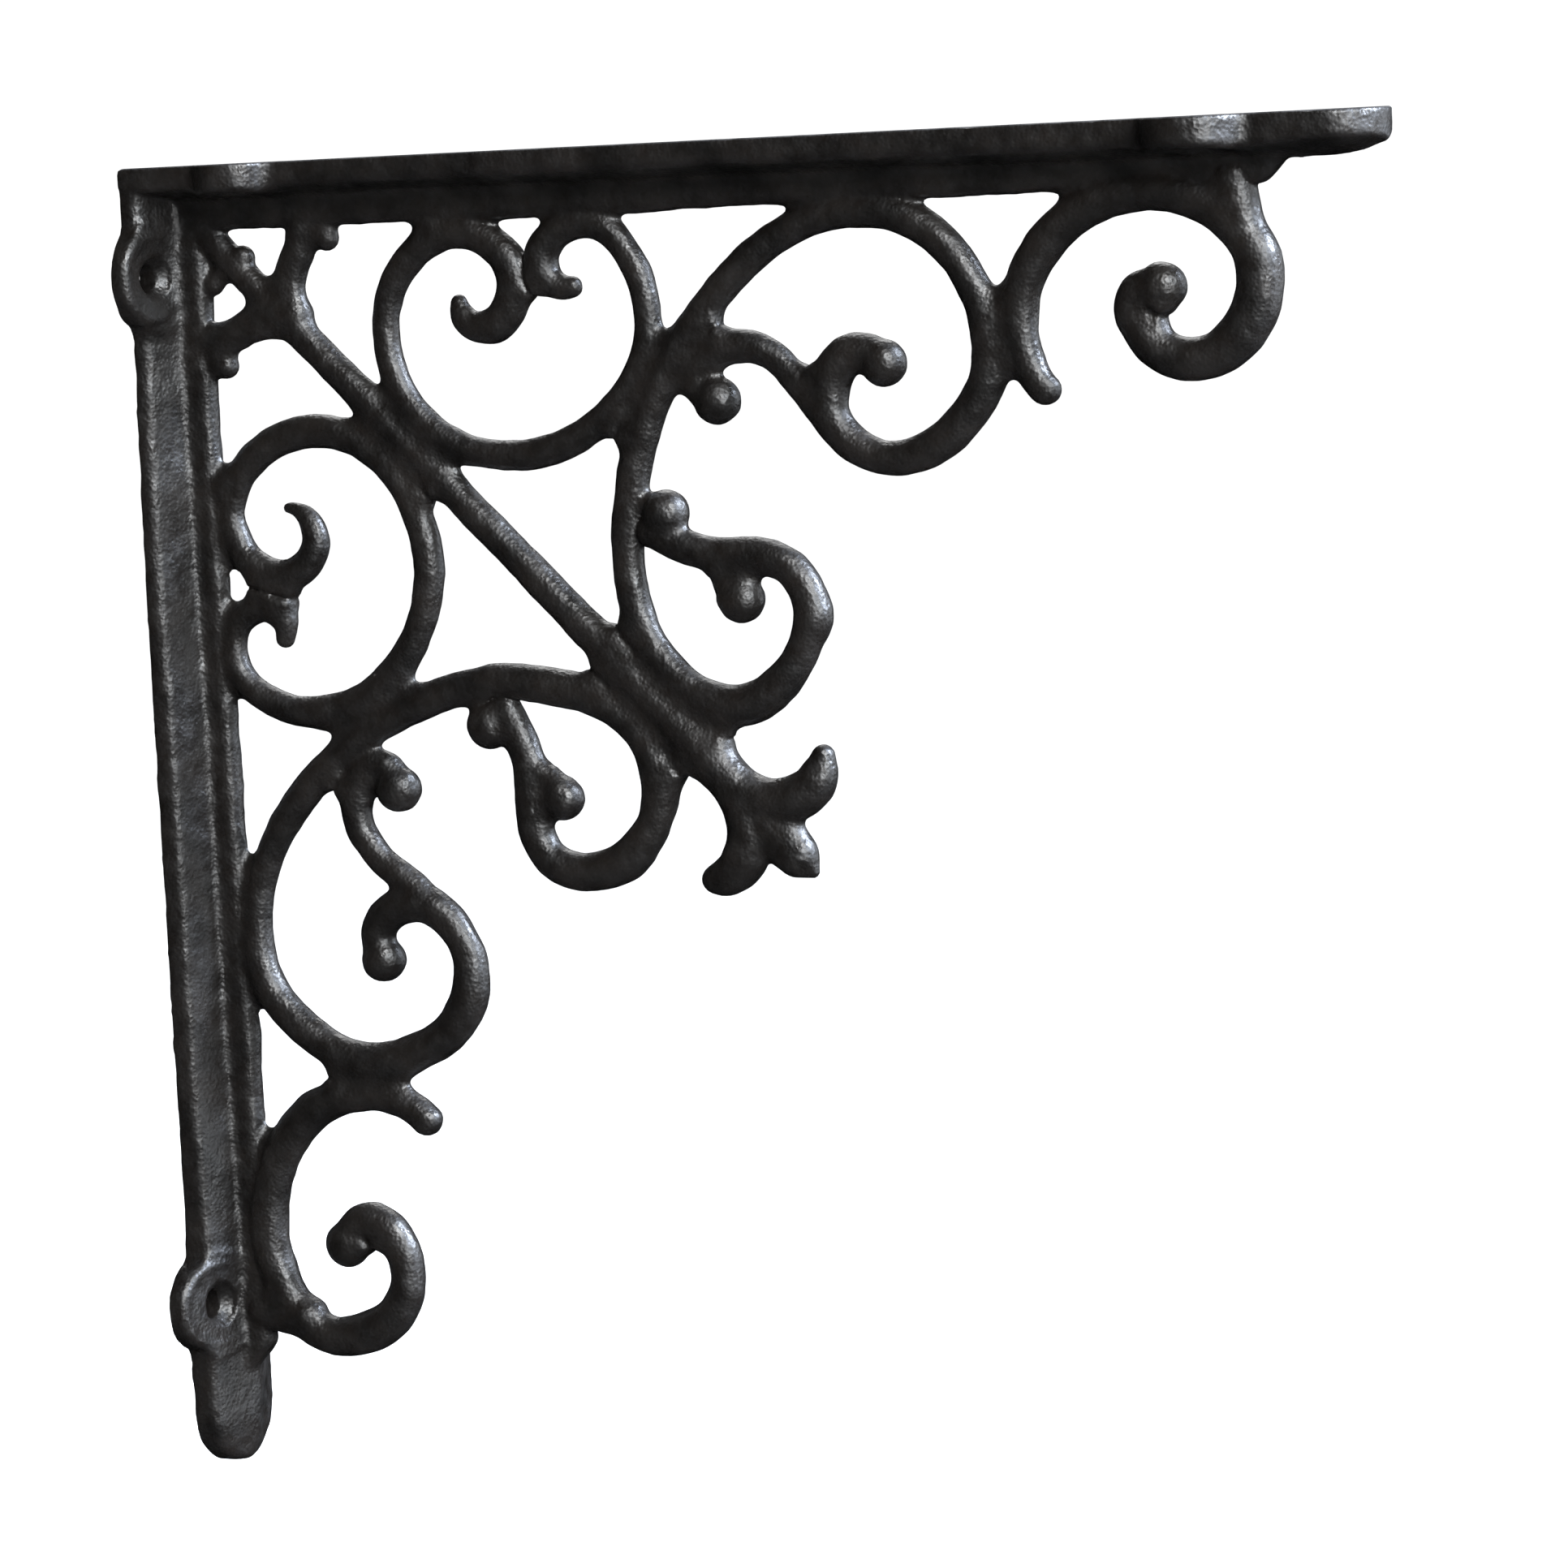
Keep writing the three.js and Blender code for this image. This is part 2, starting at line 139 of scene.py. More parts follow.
# Scrolls, measured from the crests of the ribs: start, heading, arcs of radius and turn. The pattern
# was carved by hand, so each side has its own widths and its own bulges away from the curl, at shares
# of its length. On the wall side out and drop are swapped. A cut shortens a scroll at start and end.
SCROLLS = {
    "ring": {
        "start": (49.1, 12.6), "heading": 94,
        "arcs": [(5.5, -123), (8, -124), (14.5, -95), (22, -101), (29, -68), (19.5, -75),
                 (8.5, -107), (4.2, -116), (9.5, -12)],
        "shelf": {
            "cut": (1.8, 0.6),
            "width": [(0, 2.7), (0.02, 4.8), (0.05, 6.4), (0.12, 6.2), (0.16, 5.7), (0.24, 5.5),
                      (0.36, 4.8), (0.5, 5.2), (0.6, 5.4), (0.68, 5), (0.76, 4.6), (0.84, 5), (0.9, 5.8),
                      (0.96, 6.3), (1, 3.6)],
            "bulge": [(0, -1), (0.035, 0.5), (0.06, 0.6), (0.1, -0.3), (0.16, -0.9), (0.2, -0.3),
                      (0.27, -0.4), (0.33, 0.5), (0.44, 0.1), (0.52, -0.3), (0.6, -0.1), (0.72, 0.2),
                      (0.84, -0.2), (0.92, 0.7), (0.96, 0.7), (1, 0.1)],
        },
        "wall": {
            "cut": (0.7, 0),
            "width": [(0, 2), (0.04, 4.6), (0.08, 5.6), (0.14, 5.6), (0.2, 4.4), (0.26, 5.6), (0.32, 6),
                      (0.48, 5.7), (0.56, 5.7), (0.62, 5.3), (0.76, 6.2), (0.8, 5.3), (0.86, 4.9),
                      (0.91, 4.7), (0.95, 5.7), (0.97, 5.6), (1, 3.2)],
            "bulge": [(0, -0.5), (0.04, -0.3), (0.08, 0.4), (0.14, 0), (0.2, 0.5), (0.24, -0.2),
                      (0.28, -0.9), (0.36, -0.7), (0.44, -1), (0.5, -1.3), (0.56, -0.5), (0.64, -0.4),
                      (0.76, -0.5), (0.8, 0), (0.84, 0.7), (0.88, 1.4), (0.92, 1.3), (0.96, -0.4),
                      (1, -1.2)],
        },
    },
    "great": {
        "start": (80.6, 55.1), "heading": -85,
        "arcs": [(65, 49), (35, 40), (16, 48), (60, 10), (18.5, 113), (13.5, 56), (7, 41),
                 (8.5, 80), (4, 60)],
        "shelf": {
            "width": [(0, 5.4), (0.06, 6.3), (0.12, 5.6), (0.24, 5.8), (0.4, 5.5), (0.5, 6.3), (0.56, 5.7),
                      (0.62, 6.1), (0.68, 6.6), (0.76, 6.5), (0.82, 5.8), (0.88, 6.4), (0.92, 7.1),
                      (0.96, 7.2), (1, 5.6)],
            "bulge": [(0, 0), (0.06, 0.3), (0.12, 0.1), (0.24, 0), (0.4, 0.1), (0.5, -0.3), (0.56, 0.8),
                      (0.62, 0.3), (0.68, 0.2), (0.72, -0.6), (0.8, -0.3), (0.88, -0.6), (0.92, 0),
                      (0.96, 1.1), (1, -0.4)],
        },
        "wall": {
            "width": [(0, 5.4), (0.06, 6.2), (0.12, 5.6), (0.26, 5.9), (0.4, 5.2), (0.48, 6.2), (0.56, 6.3),
                      (0.66, 7.2), (0.72, 6.7), (0.78, 7), (0.84, 5.9), (0.9, 7.1), (0.96, 6.4), (1, 4.8)],
            "bulge": [(0, 0), (0.06, 0.3), (0.12, 0), (0.24, 0.5), (0.36, 0.2), (0.44, -0.2), (0.52, -1.1),
                      (0.57, -0.6), (0.64, -0.9), (0.7, -1.2), (0.74, 0.3), (0.78, 1.4), (0.82, 1.2),
                      (0.87, 0.1), (0.92, -0.6), (0.96, -0.2), (1, -1)],
        },
    },
    "s_bar": {
        "start": (98.6, 33.1), "heading": -163,
        "arcs": [(7, 27), (3.5, 89), (10.5, 108), (35, -33)],
        "shelf": {
            "width": [(0, 5), (0.3, 6), (0.4, 5.7), (0.5, 5.2), (0.7, 5), (0.8, 5.2), (1, 5.3)],
            "bulge": [(0, 0), (0.28, -0.4), (0.34, -0.5), (0.48, -0.2), (0.58, 0.1), (0.66, 0.7),
                      (0.76, 0.7), (0.86, 0.6), (0.94, 0.3), (1, 0.2)],
        },
        "wall": {
            "fillet": 1.4,
            "width": [(0, 5), (0.3, 6.2), (0.36, 5.6), (0.5, 5.1), (0.6, 5.2), (0.84, 5.7), (1, 5.2)],
            "bulge": [(0, -0.7), (0.1, -0.7), (0.2, -0.3), (0.44, -0.4), (0.49, -0.7), (0.54, -0.4),
                      (0.6, 0.3), (0.7, 0.4), (0.84, 0.4), (0.92, -0.3), (1, -0.8)],
        },
    },
    "lobe": {
        "start": (80.1, 52.3), "heading": 93,
        "arcs": [(40, -42), (13, -92), (20, -43), (7.5, -76), (15.5, -23), (28, 37)],
        "shelf": {
            "width": [(0, 5.6), (0.16, 5.8), (0.24, 5.6), (0.32, 6), (0.38, 6.4), (0.43, 7.3), (0.5, 6.7),
                      (0.56, 5.9), (0.6, 6.1), (0.64, 7.2), (0.68, 6.2), (0.76, 6.3), (0.84, 6.5),
                      (0.9, 5.9), (1, 6)],
            "bulge": [(0, -0.3), (0.06, 0), (0.1, 0.6), (0.16, 1.1), (0.2, 1.3), (0.26, 1), (0.32, 0.3),
                      (0.38, 0.1), (0.43, 0.7), (0.5, 0.3), (0.6, 0.3), (0.64, 0.8), (0.68, -0.4),
                      (0.72, -0.5), (0.78, 0), (0.84, 0.3), (0.9, 0), (1, -0.5)],
        },
        "wall": {
            "width": [(0, 5.8), (0.08, 6.6), (0.16, 6.9), (0.24, 5.6), (0.32, 6), (0.38, 7.2), (0.44, 6.5),
                      (0.48, 6), (0.56, 7.4), (0.62, 6.9), (0.68, 6.5), (0.76, 6.2), (0.84, 6.6), (0.9, 6),
                      (1, 5.6)],
            "bulge": [(0, -0.3), (0.08, -0.6), (0.13, -0.2), (0.18, 0.5), (0.26, 0.5), (0.32, 0.1),
                      (0.4, -0.1), (0.46, -0.4), (0.52, -0.2), (0.56, 0.5), (0.62, 0), (0.68, -0.7),
                      (0.72, -0.4), (0.77, 0.2), (0.84, 0.5), (0.9, 0.1), (1, -0.3)],
        },
    },
    "end": {
        "start": (159.2, 33.6), "heading": -139,
        "arcs": [(11.5, 26), (16.5, 38), (25, 69), (20, 28), (23, 28), (12.5, 186), (2.5, 38),
                 (5.5, 90)],
        "shelf": {
            "cut": (0.6, 0),
            "width": [(0, 5.1), (0.04, 5.7), (0.08, 6.2), (0.14, 6.5), (0.2, 6.9), (0.3, 6.8), (0.4, 7.1),
                      (0.5, 7.1), (0.56, 7.5), (0.64, 7.9), (0.72, 8), (0.8, 7.3), (0.88, 7.2), (0.92, 6.6),
                      (0.97, 6.8), (1, 6)],
            "bulge": [(0, -1), (0.06, -0.8), (0.12, -0.3), (0.16, 0.5), (0.24, 0.4), (0.32, 0.2), (0.4, 0),
                      (0.52, 0.2), (0.6, 0.1), (0.66, -0.6), (0.7, -0.9), (0.76, -0.7), (0.84, -0.5),
                      (0.88, -1), (0.92, -1.7), (0.96, 1), (1, 0.3)],
        },
        "wall": {
            "width": [(0, 5.6), (0.08, 5.5), (0.14, 6.2), (0.2, 7.2), (0.28, 7), (0.4, 7.4), (0.48, 7.4),
                      (0.56, 6.5), (0.61, 6.7), (0.68, 7.9), (0.74, 7.1), (0.8, 6.4), (0.88, 6.7), (1, 5.6)],
            "bulge": [(0, 0.9), (0.06, 0.3), (0.12, 0.2), (0.19, 1.1), (0.24, 0.6), (0.3, 0), (0.4, -0.3),
                      (0.48, -0.1), (0.56, 1), (0.6, 1), (0.64, 0), (0.68, -0.4), (0.74, 0), (0.8, 0),
                      (0.84, -0.3), (0.88, -0.9), (0.92, -1.8), (0.96, -1.4), (1, -0.4)],
        },
    },
    "corner_curl": {
        "start": (15.4, 17.1), "heading": -92,
        "arcs": [(34, 14), (11.5, 62)],
        "shelf": {
            "width": [(0, 5.6), (0.3, 5), (0.5, 4.9), (0.8, 4.8), (1, 4)],
            "bulge": [(0, 0.2), (0.35, 0.4), (0.55, 0.2), (0.75, -0.2), (1, 0)],
        },
        "wall": {
            "width": [(0, 6.4), (0.4, 5), (0.6, 5.2), (0.8, 5.2), (1, 3.8)],
            "bulge": [(0, -0.3), (0.3, 0), (0.5, -0.3), (0.7, -0.4), (0.9, 0), (1, 0)],
        },
    },
    "corner_stub": {
        "start": (16.8, 12.6), "heading": -83,
        "arcs": [(90, 9)],
        "shelf": {
            "width": [(0, 4.6), (0.4, 5), (0.6, 5.8), (1, 5.6)],
            "bulge": [(0, 0.4), (0.35, 0.3), (0.6, -0.4), (1, 0)],
        },
        "wall": {
            "width": [(0, 5.4), (0.4, 5), (0.6, 6), (1, 5.6)],
            "bulge": [(0, 0), (0.4, -0.3), (0.6, -0.6), (1, 0)],
        },
    },
    "petal": {
        "start": (96.4, 95), "heading": 60,
        "arcs": [(11.5, -84), (8.5, -53)],
        "shelf": {
            "width": [(0, 6.6), (0.5, 7.8), (0.7, 8.1), (0.85, 7), (1, 4.2)],
            "bulge": [(0, 0.1), (0.2, 0.4), (0.45, 0.7), (0.65, 0.6), (0.8, 0.2), (1, -0.7)],
        },
        "wall": {
            "cut": (0, 0.3),
            "width": [(0, 6.6), (0.5, 8.2), (0.7, 8.3), (0.85, 7.4), (0.95, 6), (1, 4.8)],
            "bulge": [(0, -0.1), (0.2, -0.4), (0.5, 0.1), (0.8, -0.1), (1, -0.8)],
        },
    },
}

# Balls on each side: out, drop and radius
BALLS = {
    "shelf": [(98.7, 32.8, 4.1), (130.1, 27.2, 4), (87.8, 51.8, 4.1), (101.4, 66.8, 4), (180.8, 16.2, 4.2),
              (24.2, 2.5, 2.2)],
    "wall": [(99.5, 32.3, 4.1), (130, 27.4, 4), (88.3, 51.4, 4.2), (101.2, 65.1, 3.7), (181.6, 16.8, 4.1),
             (24.2, 2.2, 2.2), (9.9, 0.5, 1.8)],
}

# Straight bars on both sides: start, heading, length, and width at the start and at the end
STRAIGHTS = [
    ((101.6, 59.6), 92, 6, (4.6, 5)),
    ((195.3, 7.6), -98, 9, (7.6, 7.2)),
    ((42, 5.4), -52, 6, (5.2, 5)),
]

# Iron that ran into the sharpest crotches: start, end and the widths there
WEBS = {
    "shelf": [
        ((81.4, 75.6), (78.2, 71.6), (2.4, 1.8)),
        ((80.8, 36.6), (79.4, 38.2), (2.4, 1.4)),
        ((96.2, 89), (97.2, 90.2), (3, 2)),
        ((97.2, 63), (98, 65.8), (2.6, 2)),
        ((63.4, 11.6), (64.8, 13), (2.4, 1.6)),
        ((115.6, 28.8), (116.2, 28), (2.4, 1.6)),
        ((179.8, 20), (180.8, 20.4), (2.4, 1.6)),
        ((98.4, 20.6), (99.2, 20.3), (2.2, 1.6)),
    ],
    "wall": [
        ((81.2, 75.4), (78.5, 72.9), (2.4, 1.8)),
        ((96, 88), (96.8, 88.6), (2.2, 1.4)),
        ((65.2, 10.4), (65.6, 12.8), (1.8, 1.6)),
        ((96.6, 62.9), (98, 64.8), (2.6, 2)),
        ((46.8, 41.6), (47.6, 42.2), (2.4, 1.6)),
        ((151.8, 16.6), (151.5, 16), (2.4, 1.6)),
        ((63.6, 7.2), (63.4, 5.6), (2.2, 1.4)),
        ((98.6, 20.8), (99.2, 20), (2.4, 1.6)),
        ((180.2, 21.6), (181.6, 22.2), (2.4, 1.8)),
    ],
}
WEB_POINTS = 12

# Bars on the diagonal: where they start and end on it, with width and lean towards the wall side's
# tip at shares of their length. The bud ends the finial. A small ball sits in the corner.
BRACE = {
    "from": -3.4, "to": 101.6,
    "width": [(0, 5.2), (0.1, 5.1), (0.16, 5.6), (0.5, 5.8), (0.56, 5.8), (0.64, 6.2), (0.76, 6.6),
              (0.82, 6.4), (0.94, 8.2), (1, 7.2)],
    "lean": [(0, 0.3), (0.12, 0.9), (0.24, 0.6), (0.4, 0.35), (0.5, 0.3), (0.62, 0.1), (1, 0)],
}
BUD = {
    "from": 97.6, "to": 113,
    "width": [(0, 5), (0.25, 7.6), (0.55, 10), (0.8, 7.9), (1, 2)],
    "lean": [(0, 0), (0.3, 0.3), (0.7, 0.8), (1, 0.8)],
}
CORNER_BUD = (6.9, 5.2, 2.2)

# Spacing of the points along a bar, and the reach over which its bulges and widths are eased
SPACING = 0.35
BULGE_EASE = 2.5
WIDTH_EASE = 1.5
EASE_STEPS = 11

# The scrolls of the two sides meet within this reach of the corner and this depth
MEETING_REACH = 125
MEETING_DEPTH = 11

# Unevenness of the sand mould: wavelength, height and number of waves. The wavelengths vary by a
# factor, and only places this near to the surface are moved.
MOULD_WAVES = ((14.0, 0.05, 10), (5.5, 0.035, 14), (2.6, 0.02, 18))
MOULD_SPREAD = (0.8, 1.25)
MOULD_SEED = 11
MOULD_BAND = 1.2

# Grid of the distance field, over one half of the bracket. Distances are kept up to FAR.
STEP = 0.4
MARGIN = 2.0
LOW = -MARGIN
FAR = 6.0
HALF_DEPTH = 18.6
COUNT = int(math.ceil((WALL_LENGTH + MARGIN - LOW) / STEP)) + 1
LAYERS = int(math.ceil(HALF_DEPTH / STEP)) + 1
TRIANGLES = 190000

plan = LOW + STEP * np.arange(COUNT, dtype=np.float32)
across = STEP * np.arange(LAYERS, dtype=np.float32)


def share_of(table, share):
    """The table's value at a place, on straight runs between its entries."""
    shares, values = zip(*table)
    return np.interp(share, shares, values)


def eased(table, runs, reach):
    """The table's values along a bar, with its corners rounded off."""
    steps = np.linspace(-reach, reach, EASE_STEPS)
    share = (runs[:, None] + steps[None, :]) / runs[-1]
    weight = 1 + np.cos(math.pi * steps / reach)
    return share_of(table, share) @ (weight / weight.sum())


def arc_points(shape):
    """Closely spaced points along a chain of arcs."""
    out, drop = shape["start"]
    heading = math.radians(shape["heading"])
    points = [(out, drop)]
    for radius, turn in shape["arcs"]:
        sign = math.copysign(1, turn)
        angle = math.radians(turn)
        steps = max(2, int(radius * abs(angle) / SPACING))
        centre = (out - sign * radius * math.sin(heading), drop + sign * radius * math.cos(heading))
        for i in range(1, steps + 1):
            turned = heading + angle * i / steps
            out = centre[0] + sign * radius * math.sin(turned)
            drop = centre[1] - sign * radius * math.cos(turned)
            points.append((out, drop))
        heading += angle
    return np.array(points)


def trail(shape, side):
    """Points along a scroll on one side, with its bulges and cuts, and the width at each."""
    points = arc_points(shape)
    runs = np.concatenate([[0], np.cumsum(np.hypot(*np.diff(points, axis=0).T))])
    ahead = np.gradient(points, axis=0)
    ahead /= np.hypot(*ahead.T)[:, None]
    curl = math.copysign(1, sum(turn for _, turn in shape["arcs"]))
    away = curl * np.stack([ahead[:, 1], -ahead[:, 0]], axis=1)
    points = points + away * eased(shape[side]["bulge"], runs, BULGE_EASE)[:, None]
    before, after = shape[side].get("cut", (0, 0))
    kept = (runs >= before) & (runs <= runs[-1] - after)
    return points[kept], eased(shape[side]["width"], runs - before, WIDTH_EASE)[kept]


def line(start, heading, length, width):
    """Points along a straight bar, with the width at each."""
    shares = np.linspace(0, 1, int(length / SPACING) + 2)
    angle = math.radians(heading)
    points = np.array(start) + shares[:, None] * length * np.array([math.cos(angle), math.sin(angle)])
    return points, np.interp(shares, (0, 1), width)


def diagonal(sizes):
    """Points along a bar on the diagonal, with the width at each."""
    length = (sizes["to"] - sizes["from"]) * math.sqrt(2)
    shares = np.linspace(0, 1, int(length / SPACING) + 2)
    along = sizes["from"] + (sizes["to"] - sizes["from"]) * shares
    lean = share_of(sizes["lean"], shares) / math.sqrt(2)
    return np.stack([along - lean, along + lean], axis=1), share_of(sizes["width"], shares)


def window(low, high):
    """The grid indices that cover a stretch of the plan."""
    first = max(0, int((low - LOW) / STEP) - 1)
    last = min(COUNT, int((high - LOW) / STEP) + 3)
    return slice(first, last)


def nearest_point(points, widths, outs, drops):
    """Distance from each place of the plan to the line of a bar, and half the bar's width there."""
    distance = np.empty((len(outs), len(drops)), np.float32)
    half = np.empty((len(outs), len(drops)), np.float32)
    for i, out in enumerate(outs):
        gap = np.hypot(out - points[:, 0][None, :], drops[:, None] - points[:, 1][None, :])
        best = (gap - widths[None, :] / 2).argmin(axis=1)
        distance[i] = gap[np.arange(len(drops)), best]
        half[i] = widths[best] / 2
    return distance, half


def bar_field(points, widths, depth_of=None):
    """Distance to a bar with an oval section, over the part of the grid around it."""
    points = points + RIB_TOP
    reach = widths.max() / 2 + FAR
    rows = window(points[:, 0].min() - reach, points[:, 0].max() + reach)
    cols = window(points[:, 1].min() - reach, points[:, 1].max() + reach)
    distance, half = nearest_point(points, widths, plan[rows], plan[cols])
    if depth_of is None:
        depth = np.full_like(half, BAR_DEPTH)
    else:
        depth = depth_of(half) / half
    layers = across[across < reach]
    y = layers[None, None, :] / depth[:, :, None]
    field = np.sqrt(distance[:, :, None] ** 2 + y ** 2) - half[:, :, None]
    return (rows, cols, slice(0, len(layers))), field.astype(np.float32)


def bud_depth(half):
    return np.minimum(half, BUD_HALF_DEPTH)


def web_depth(half):
    return np.full_like(half, WEB_HALF_DEPTH)


def ball_field(ball):
    out, drop, radius = ball
    return bar_field(np.array([[out, drop]]), np.array([2.0 * radius]))


def slope(field):
    """Direction in which the field grows fastest."""
    parts = np.gradient(field, STEP)
    size = np.sqrt(sum(part * part for part in parts)) + 1e-6
    return [part / size for part in parts]


def blend(first, second, fillet):
    """Joins two fields with a fillet in the crotch between them, and none where they run together."""
    facing = sum(p * q for p, q in zip(slope(first), slope(second)))
    soft = fillet * np.clip(1 - facing, 0, 2) ** FILLET_POWER + LEAST_FILLET
    overlap = np.clip(soft - np.abs(first - second), 0, None)
    return np.minimum(first, second) - overlap ** 2 / (4 * soft)


def add(total, place, field, fillet=FILLET):
    """Joins a field onto its place in the whole."""
    total[place] = blend(total[place], field, fillet)


def crisp(first, second, radius):
    """The overlap of two fields, with its edge rounded."""
    both = np.clip(radius - np.abs(first - second), 0, None)
    return np.maximum(first, second) + both ** 2 / (4 * radius)


def strap_and_rib(leg, along, thick, y):
    """Field of the strap with its round end, and of the rib that ends in an ogee."""
    half = share_of(leg["half"], along)
    edge = share_of(leg["edge"], along)
    ridge = share_of(leg["ridge"], along)
    past = np.clip(along - leg["length"] + half[-1], 0, None)
    outline = np.maximum(np.sqrt(past ** 2 + y ** 2) - half, -along)
    fall = TIP_FALL * np.clip(past / half, 0, 1) ** 2
    slant = (ridge - edge) / half
    top = (thick - (ridge - slant * y - fall)) / np.sqrt(1 + slant ** 2)
    strap = crisp(crisp(outline, top, share_of(leg["rounding"], along)), -thick, BACK_ROUNDING)

    end = leg["length"] - RIB_SETBACK
    ogee = np.clip((along - end + RIB_SHOULDER) / RIB_SHOULDER, 0, 1)
    height = share_of(leg["rib"], along)
    crest = height + (ridge - RIB_FOOT - height) * (1 - np.cos(math.pi * ogee)) / 2
    sides = np.maximum(y - RIB_HALF, np.maximum(along - end, RIB_FROM_CORNER - along))
    rib = crisp(crisp(sides, thick - crest, RIB_ROUNDING), RIB_FROM_BACK - thick, RIB_END_ROUNDING)
    return blend(strap, rib, RIB_FILLET)


def add_ear(field, ear, along, thick, y):
    """The field with a screw ear joined on and its countersunk hole cut out."""
    place, radius, rim, root, stretch = ear
    disc = np.sqrt(((along - place) / stretch) ** 2 + (y - EAR_ACROSS) ** 2)
    reach = np.sqrt((along - place) ** 2 + (y - EAR_ACROSS) ** 2)
    slant = (root - rim) / (EAR_ACROSS + radius - EAR_ROOT_ACROSS)
    height = rim + slant * (EAR_ACROSS + radius - y)
    lip = LIP_HEIGHT * np.exp(-((disc - radius + LIP_INSET) / LIP_WIDTH) ** 2)
    face = (thick - height - lip) / math.sqrt(1 + slant ** 2)
    pad = crisp(crisp(disc - radius, face, EAR_ROUNDING), -thick, BACK_ROUNDING)
    field = blend(field, pad, EAR_FILLET)
    floor = (rim + root) / 2 - SINK_DEPTH
    shank = reach - SCREW_RADIUS
    cone = (reach - SCREW_RADIUS - (thick - floor)) / math.sqrt(2)
    sink = np.maximum(cone, reach - SINK_RADIUS)
    hole = np.minimum(shank, np.maximum(sink, floor - thick))
    return crisp(field, -hole, HOLE_ROUNDING)


def leg_field(leg):
    """Strap, rib and screw ears of one leg. The axes run along it, out from its back, and across."""
    along = plan[:, None, None]
    thick = plan[window(LOW, RIB_TOP + FAR)][None, :, None]
    y = across[None, None, :]
    field = strap_and_rib(leg, along, thick, y)
    for ear in leg["ears"]:
        field = add_ear(field, ear, along, thick, y)
    return field.astype(np.float32)


def side_field(side):
    """The scrolls on one side of the diagonal, laid out as on the shelf side."""
    field = np.full((COUNT, COUNT, LAYERS), FAR, np.float32)
    for shape in SCROLLS.values():
        add(field, *bar_field(*trail(shape, side)), fillet=shape[side].get("fillet", FILLET))
    for start, heading, length, width in STRAIGHTS:
        add(field, *bar_field(*line(start, heading, length, width)))
    for ball in BALLS[side]:
        add(field, *ball_field(ball), fillet=BALL_FILLET)
    return field


def scrollwork():
    """The scrolls on both sides of the diagonal, joined where they meet."""
    shelf_side = side_field("shelf")
    wall_side = side_field("wall").transpose(1, 0, 2)
    corner = slice(0, int((RIB_TOP + MEETING_REACH - LOW) / STEP))
    flat = slice(0, int(MEETING_DEPTH / STEP))
    joined = blend(shelf_side[corner, corner, flat], wall_side[corner, corner, flat], FILLET)
    field = np.minimum(shelf_side, wall_side)
    field[corner, corner, flat] = joined
    return field


def add_diagonal(field):
    """Brace, finial, corner bud and webs."""
    add(field, *bar_field(*diagonal(BRACE)), fillet=BRACE_FILLET)
    add(field, *bar_field(*diagonal(BUD), depth_of=bud_depth), fillet=BUD_FILLET)
    add(field, *ball_field(CORNER_BUD), fillet=CORNER_BUD_FILLET)
    for side, webs in WEBS.items():
        for start, end, width in webs:
            web = np.linspace(start, end, WEB_POINTS)
            if side == "wall":
                web = web[:, ::-1]
            add(field, *bar_field(web, np.linspace(*width, WEB_POINTS), depth_of=web_depth))


def add_legs(field):
    """Legs, with fillets that stay near the middle, so that the crests run on in front of the scrolls."""
    full = slice(0, COUNT)
    thin = window(LOW, RIB_TOP + FAR)
    layers = slice(0, LAYERS)
    spread = CREST_SHARE + (1 - CREST_SHARE) * np.clip(1 - across / CREST_REACH, 0, 1)
    shelf_fillet = share_of(SHELF["crotch"], plan)[:, None, None] * spread[None, None, :]
    wall_fillet = share_of(WALL["crotch"], plan)[None, :, None] * spread[None, None, :]
    add(field, (full, thin, layers), leg_field(SHELF), fillet=shelf_fillet)
    add(field, (thin, full, layers), leg_field(WALL).transpose(1, 0, 2), fillet=wall_fillet)


def roughen(field):
    """Moves the surface a little in and out, by waves in random directions."""
    rng = np.random.default_rng(MOULD_SEED)
    near = np.argwhere(np.abs(field) < MOULD_BAND)
    spots = near.astype(np.float32) * STEP
    swell = np.zeros(len(near), np.float32)
    for wavelength, height, waves in MOULD_WAVES:
        for _ in range(waves):
            direction = rng.normal(size=3)
            direction *= 2 * math.pi / (np.linalg.norm(direction) * wavelength * rng.uniform(*MOULD_SPREAD))
            phase = rng.uniform(0, 2 * math.pi)
            swell += height * math.sqrt(2 / waves) * np.sin(spots @ direction.astype(np.float32) + phase)
    field[near[:, 0], near[:, 1], near[:, 2]] += swell


def trimmed(field):
    """The field cut off at the flat backs and their rounded corner, and at the reach of the solid."""
    widest = EAR_ACROSS + max(ear[1] for leg in (WALL, SHELF) for ear in leg["ears"])
    from_middle = STEP * np.abs(np.arange(field.shape[2]) - (LAYERS - 1))
    field = np.maximum(field, crisp(-plan[:, None, None], -plan[None, :, None], CORNER_ROUNDING))
    field = np.maximum(field, plan[:, None, None] - SHELF_LENGTH)
    field = np.maximum(field, plan[None, :, None] - WALL_LENGTH)
    return np.maximum(field, from_middle[None, None, :] - widest)


def casting_field():
    """Distance field of the whole bracket, both halves."""
    half = scrollwork()
    add_diagonal(half)
    add_legs(half)
    whole = np.concatenate([half[:, :, :0:-1], half], axis=2)
    roughen(whole)
    return trimmed(whole)


